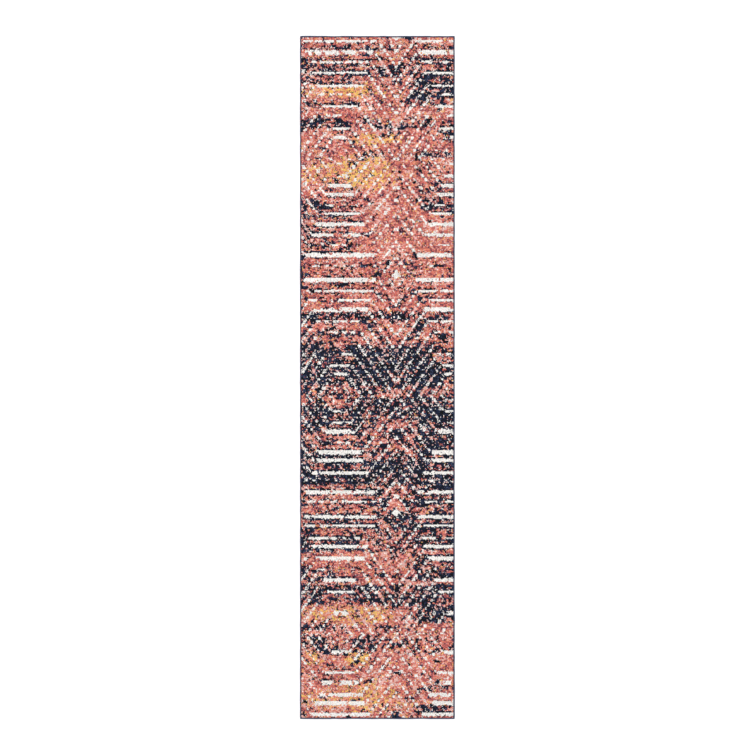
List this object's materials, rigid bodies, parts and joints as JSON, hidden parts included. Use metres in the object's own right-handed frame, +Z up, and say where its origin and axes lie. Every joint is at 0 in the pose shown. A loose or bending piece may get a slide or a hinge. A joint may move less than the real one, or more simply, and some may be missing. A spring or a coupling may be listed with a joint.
{
  "type": "runner rug",
  "caption": "Long narrow cut-pile rug with a distressed pattern of nested hexagons in ivory bars on coral, navy serged edges and a latex back.",
  "frame": {"origin": "centre of the rug's footprint, on the floor under it", "axes": "+Y along the rug's length towards its head, +X across it, +Z up out of the pile"},
  "size_m": [0.68, 3, 0.01],
  "materials": {
    "latex": "matt synthetic latex back-size",
    "jute_weft": "spun jute, natural",
    "stuffer_warp": "polyester-cotton warp, undyed",
    "field_pile": "heat-set polypropylene cut pile, mixed coral, rose, gold and navy yarns",
    "ivory_pile": "heat-set polypropylene cut pile, ivory",
    "serging_yarn": "navy polypropylene overcast yarn",
    "edge_cord": "twisted cotton filler cord",
    "label": "white woven polyester label, blank",
    "label_thread": "white sewing thread"
  },
  "bodies": {
    "root": {"latex_backcoat": "latex", "back_weft": "jute_weft", "stuffer_warp": "stuffer_warp", "face_weft": "jute_weft", "field_pile": "field_pile", "ivory_pile": "ivory_pile", "right_serging": "serging_yarn", "head_serging": "serging_yarn", "left_serging": "serging_yarn", "foot_serging": "serging_yarn", "right_edge_cord": "edge_cord", "head_edge_cord": "edge_cord", "left_edge_cord": "edge_cord", "foot_edge_cord": "edge_cord", "yarn_tails": "serging_yarn", "care_label": "label", "label_stitches": "label_thread"}
  },
  "joints": []
}
